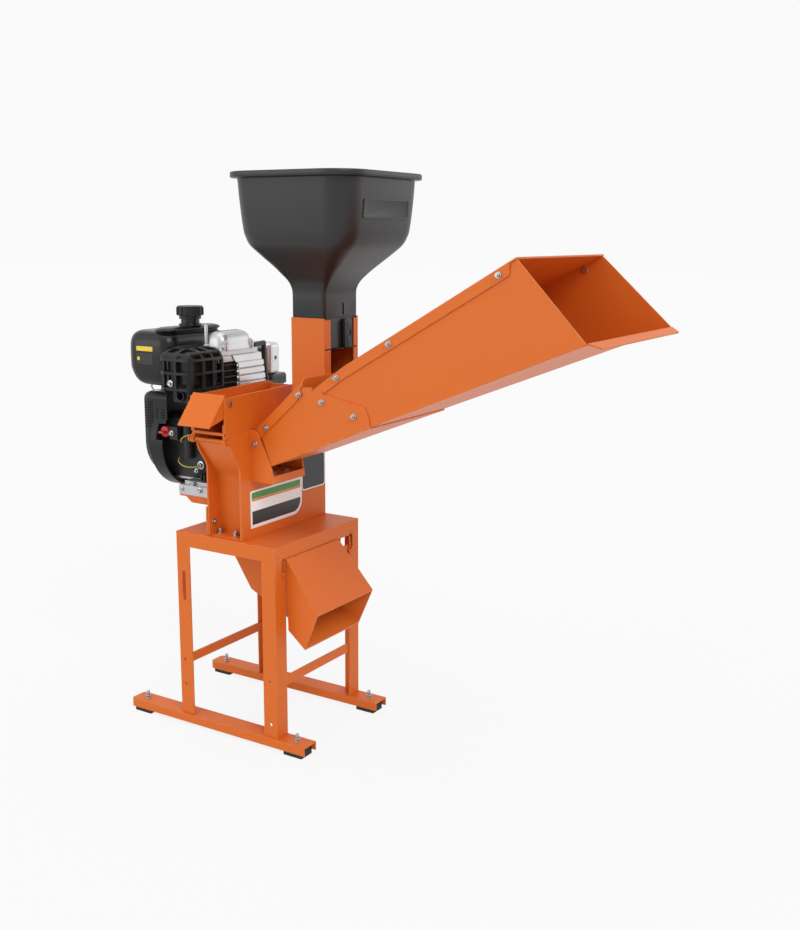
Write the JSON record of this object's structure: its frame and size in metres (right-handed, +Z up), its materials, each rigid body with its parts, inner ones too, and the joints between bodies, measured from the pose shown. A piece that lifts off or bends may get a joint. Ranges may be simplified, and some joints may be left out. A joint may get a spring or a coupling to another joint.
{
  "type": "forage chopper",
  "caption": "Engine-driven forage chopper and grain mill on an angle-iron stand, with a long feed chute, a grain hopper, a hinged discharge hood and a lower spout.",
  "frame": {"origin": "middle of the machine's footprint box, on the floor", "axes": "+X toward the feed chute's mouth, +Y away from the operator's discharge side, +Z up"},
  "size_m": [1.249, 0.4648, 1.284],
  "materials": {
    "paint_orange": "satin powder coat",
    "zinc_steel": "bright zinc plating",
    "bare_steel": "ground and oiled",
    "rubber": "matt",
    "hopper_plastic": "fine grain",
    "cast_alloy": "rough cast, dark",
    "bright_alloy": "bright cast and pressed",
    "black_paint": "satin black",
    "black_plastic": "gloss",
    "red_plastic": "gloss",
    "wire_cover": "soft"
  },
  "bodies": {
    "machine": {"leg_engine_near": "paint_orange", "leg_engine_far": "paint_orange", "leg_chute_near": "paint_orange", "leg_chute_far": "paint_orange", "top_rails": "paint_orange", "deck_plate": "paint_orange", "braces": "paint_orange", "foot_bars": "paint_orange", "foot_pads": "rubber", "foot_studs": "zinc_steel", "grain_funnel": "paint_orange", "lower_spout": "paint_orange", "housing_front_plate": "paint_orange", "housing_back_plate": "paint_orange", "wrapper_near": "paint_orange", "wrapper_far": "paint_orange", "grain_screen": "bare_steel", "base_bolts": "zinc_steel", "hinge_rod": "paint_orange", "inlet_frame": "paint_orange", "counter_knife": "bare_steel", "throat_floor": "paint_orange", "throat_sides": "paint_orange", "throat_cover": "paint_orange", "chute_near_wall": "paint_orange", "chute_far_wall": "paint_orange", "chute_floor": "paint_orange", "chute_cover": "paint_orange", "chute_bolts": "zinc_steel", "hopper": "hopper_plastic", "hopper_channel": "paint_orange", "engine_plate": "paint_orange", "crankcase": "cast_alloy", "cylinder_fins": "cast_alloy", "cylinder_shield": "bright_alloy", "head_cover": "bright_alloy", "muffler": "black_paint", "muffler_guard": "black_paint", "fuel_tank": "black_plastic", "fan_shroud": "black_paint", "recoil_cover": "black_paint", "air_filter": "bright_alloy", "engine_wires": "wire_cover"},
    "hood": {"hood_walls": "paint_orange", "hood_roof": "paint_orange", "flap_screws": "zinc_steel"},
    "deflector": {"deflector_flap": "paint_orange"},
    "gate": {"hopper_gate": "hopper_plastic"},
    "rotor": {"crankshaft": "bare_steel", "rotor_disc": "paint_orange", "knives": "bare_steel", "hammer_pins": "bare_steel"},
    "hammer_1": {"hammer_a": "bare_steel"},
    "hammer_2": {"hammer_b": "bare_steel"},
    "hammer_3": {"hammer_c": "bare_steel"},
    "hammer_4": {"hammer_d": "bare_steel"},
    "fuel_cap": {"fuel_cap": "black_plastic"},
    "starter_handle": {"recoil_handle": "black_plastic"},
    "oil_plug": {"oil_cap": "red_plastic"},
    "throttle": {"throttle_lever": "bare_steel"}
  },
  "joints": [
    {"name": "hood_hinge", "type": "hinge", "parent": "machine", "child": "hood", "pos_m": [-0.2855, -0.18074, 0.711], "axis": [1, 0, 0], "range_deg": [0, 100]},
    {"name": "deflector_hinge", "type": "hinge", "parent": "hood", "child": "deflector", "pos_m": [-0.2855, -0.16874, 0.793], "axis": [1, 0, 0], "range_deg": [-45, 20]},
    {"name": "gate_slide", "type": "slide", "parent": "machine", "child": "gate", "axis": [1, 0, 0], "range_m": [0, 0.075]},
    {"name": "rotor_spin", "type": "hinge", "parent": "machine", "child": "rotor", "pos_m": [-0.2855, 0.01826, 0.66], "axis": [1, 0, 0], "continuous": true},
    {"name": "hammer_1_swing", "type": "hinge", "parent": "rotor", "child": "hammer_1", "pos_m": [-0.287, 0.06634, 0.70808], "axis": [1, 0, 0], "continuous": true},
    {"name": "hammer_2_swing", "type": "hinge", "parent": "rotor", "child": "hammer_2", "pos_m": [-0.287, -0.02982, 0.70808], "axis": [1, 0, 0], "continuous": true},
    {"name": "hammer_3_swing", "type": "hinge", "parent": "rotor", "child": "hammer_3", "pos_m": [-0.287, -0.02982, 0.61192], "axis": [1, 0, 0], "continuous": true},
    {"name": "hammer_4_swing", "type": "hinge", "parent": "rotor", "child": "hammer_4", "pos_m": [-0.287, 0.06634, 0.61192], "axis": [1, 0, 0], "continuous": true},
    {"name": "fuel_cap_turn", "type": "hinge", "parent": "machine", "child": "fuel_cap", "pos_m": [-0.5025, 0.01026, 0.955], "axis": [0, 0, 1], "range_deg": [0, 90]},
    {"name": "starter_pull", "type": "slide", "parent": "machine", "child": "starter_handle", "axis": [-1, 0, 0], "range_m": [0, 0.4], "stiffness_N_per_m": 15, "springref_m": -0.3},
    {"name": "oil_plug_turn", "type": "hinge", "parent": "machine", "child": "oil_plug", "pos_m": [-0.5115, -0.06574, 0.693], "axis": [0, 1, 0], "continuous": true},
    {"name": "throttle_swing", "type": "hinge", "parent": "machine", "child": "throttle", "pos_m": [-0.4255, 0.09626, 0.67], "axis": [0, 1, 0], "range_deg": [-20, 20]}
  ]
}
